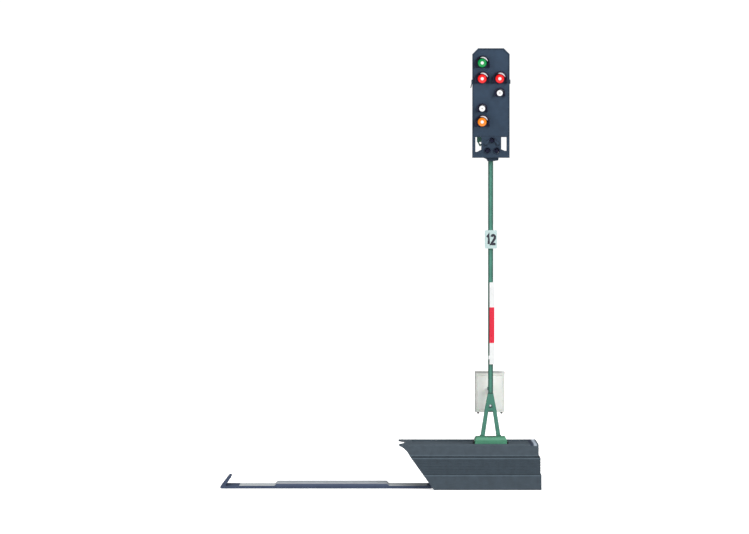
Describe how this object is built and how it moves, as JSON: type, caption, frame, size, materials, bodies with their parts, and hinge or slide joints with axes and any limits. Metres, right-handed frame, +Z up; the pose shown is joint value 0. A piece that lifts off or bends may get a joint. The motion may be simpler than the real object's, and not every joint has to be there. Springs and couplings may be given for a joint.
{
  "type": "model railway signal mast",
  "caption": "Model colour-light signal: lamp head on a slim plug-in mast, on a base box with a flat hooked arm that clips it beside plastic-roadbed track.",
  "frame": {"origin": "on the table plane at the base's underside, straight below the mast's axis", "axes": "+Z up along the mast, +X along the base away from the track, +Y to the back of the signal, so the lamps look along -Y"},
  "size_m": [0.0621, 0.0167, 0.0852],
  "materials": {
    "base_plastic": "slate-grey moulded plastic",
    "clip_plastic": "dark slate moulded plastic",
    "cover_plastic": "mid-grey moulded plastic",
    "contact_metal": "tinned spring sheet",
    "screw_steel": "blued steel",
    "board_laminate": "green glass-fibre laminate",
    "component_black": "black moulded circuit package",
    "capacitor_can": "satin can",
    "socket_plastic": "black insulating plastic",
    "pin_brass": "bright turned brass",
    "mast_paint": "satin sea-green paint",
    "foot_paint": "satin sea-green paint, lighter",
    "rivet_steel": "bright",
    "wire_enamel": "green enamel",
    "sign_enamel": "white print with a red field",
    "number_plastic": "white translucent plastic",
    "cabinet_plastic": "pale grey-green translucent plastic",
    "cabinet_foot": "dark grey",
    "shield_plastic": "satin blue-black plastic",
    "housing_plastic": "satin blue-black plastic",
    "visor_plastic": "glossy black plastic",
    "lens_green_glass": "lit green lens",
    "lens_red_glass": "lit red lens",
    "lens_orange_glass": "lit orange lens",
    "lens_white_glass": "lit white lens",
    "lens_dark_glass": "unlit lens",
    "led_body": "surface-mounted diode"
  },
  "bodies": {
    "base": {"base_housing": "base_plastic", "base_plate": "base_plastic", "plate_screws": "screw_steel", "decoder_board": "board_laminate", "decoder_chip": "component_black", "output_driver": "component_black", "bridge_rectifier": "component_black", "buffer_capacitor": "capacitor_can", "board_resistors": "component_black", "contact_spring_front": "contact_metal", "contact_spring_rear": "contact_metal", "mast_socket": "socket_plastic", "socket_contacts": "pin_brass"},
    "track_clip": {"track_clip_arm": "clip_plastic", "contact_strip_front": "contact_metal", "contact_strip_rear": "contact_metal", "strip_cover": "cover_plastic"},
    "mast": {"foot_plug": "socket_plastic", "plug_pins": "pin_brass", "mast_foot": "foot_paint", "mast_frame_front": "mast_paint", "mast_frame_rear": "mast_paint", "gusset_rivet": "rivet_steel", "mast_profile": "mast_paint", "lamp_wires": "wire_enamel", "mast_sign": "sign_enamel", "number_plate": "number_plastic", "cabinet_body": "cabinet_plastic", "cabinet_floor": "cabinet_foot", "cabinet_bracket": "mast_paint", "head_neck": "shield_plastic", "head_shield": "shield_plastic", "lamp_housing": "housing_plastic", "light_baffle": "socket_plastic", "lamp_board": "board_laminate", "lamp_leds": "led_body", "substitute_housing": "housing_plastic", "substitute_lenses": "lens_dark_glass", "service_platform": "mast_paint", "platform_railing": "housing_plastic", "platform_hanger": "mast_paint", "lens_green": "lens_green_glass", "visor_green": "visor_plastic", "lens_red_left": "lens_red_glass", "visor_red_left": "visor_plastic", "lens_red_right": "lens_red_glass", "visor_red_right": "visor_plastic", "lens_white_right": "lens_white_glass", "visor_white_right": "visor_plastic", "lens_white_left": "lens_white_glass", "visor_white_left": "visor_plastic", "lens_orange": "lens_orange_glass", "visor_orange": "visor_plastic"}
  },
  "joints": [
    {"name": "clip_slide", "type": "slide", "parent": "base", "child": "track_clip", "axis": [-1, 0, 0], "range_m": [0, 0.0085]},
    {"name": "mast_unplug", "type": "slide", "parent": "base", "child": "mast", "axis": [0, 0, 1], "range_m": [0, 0.006]}
  ]
}
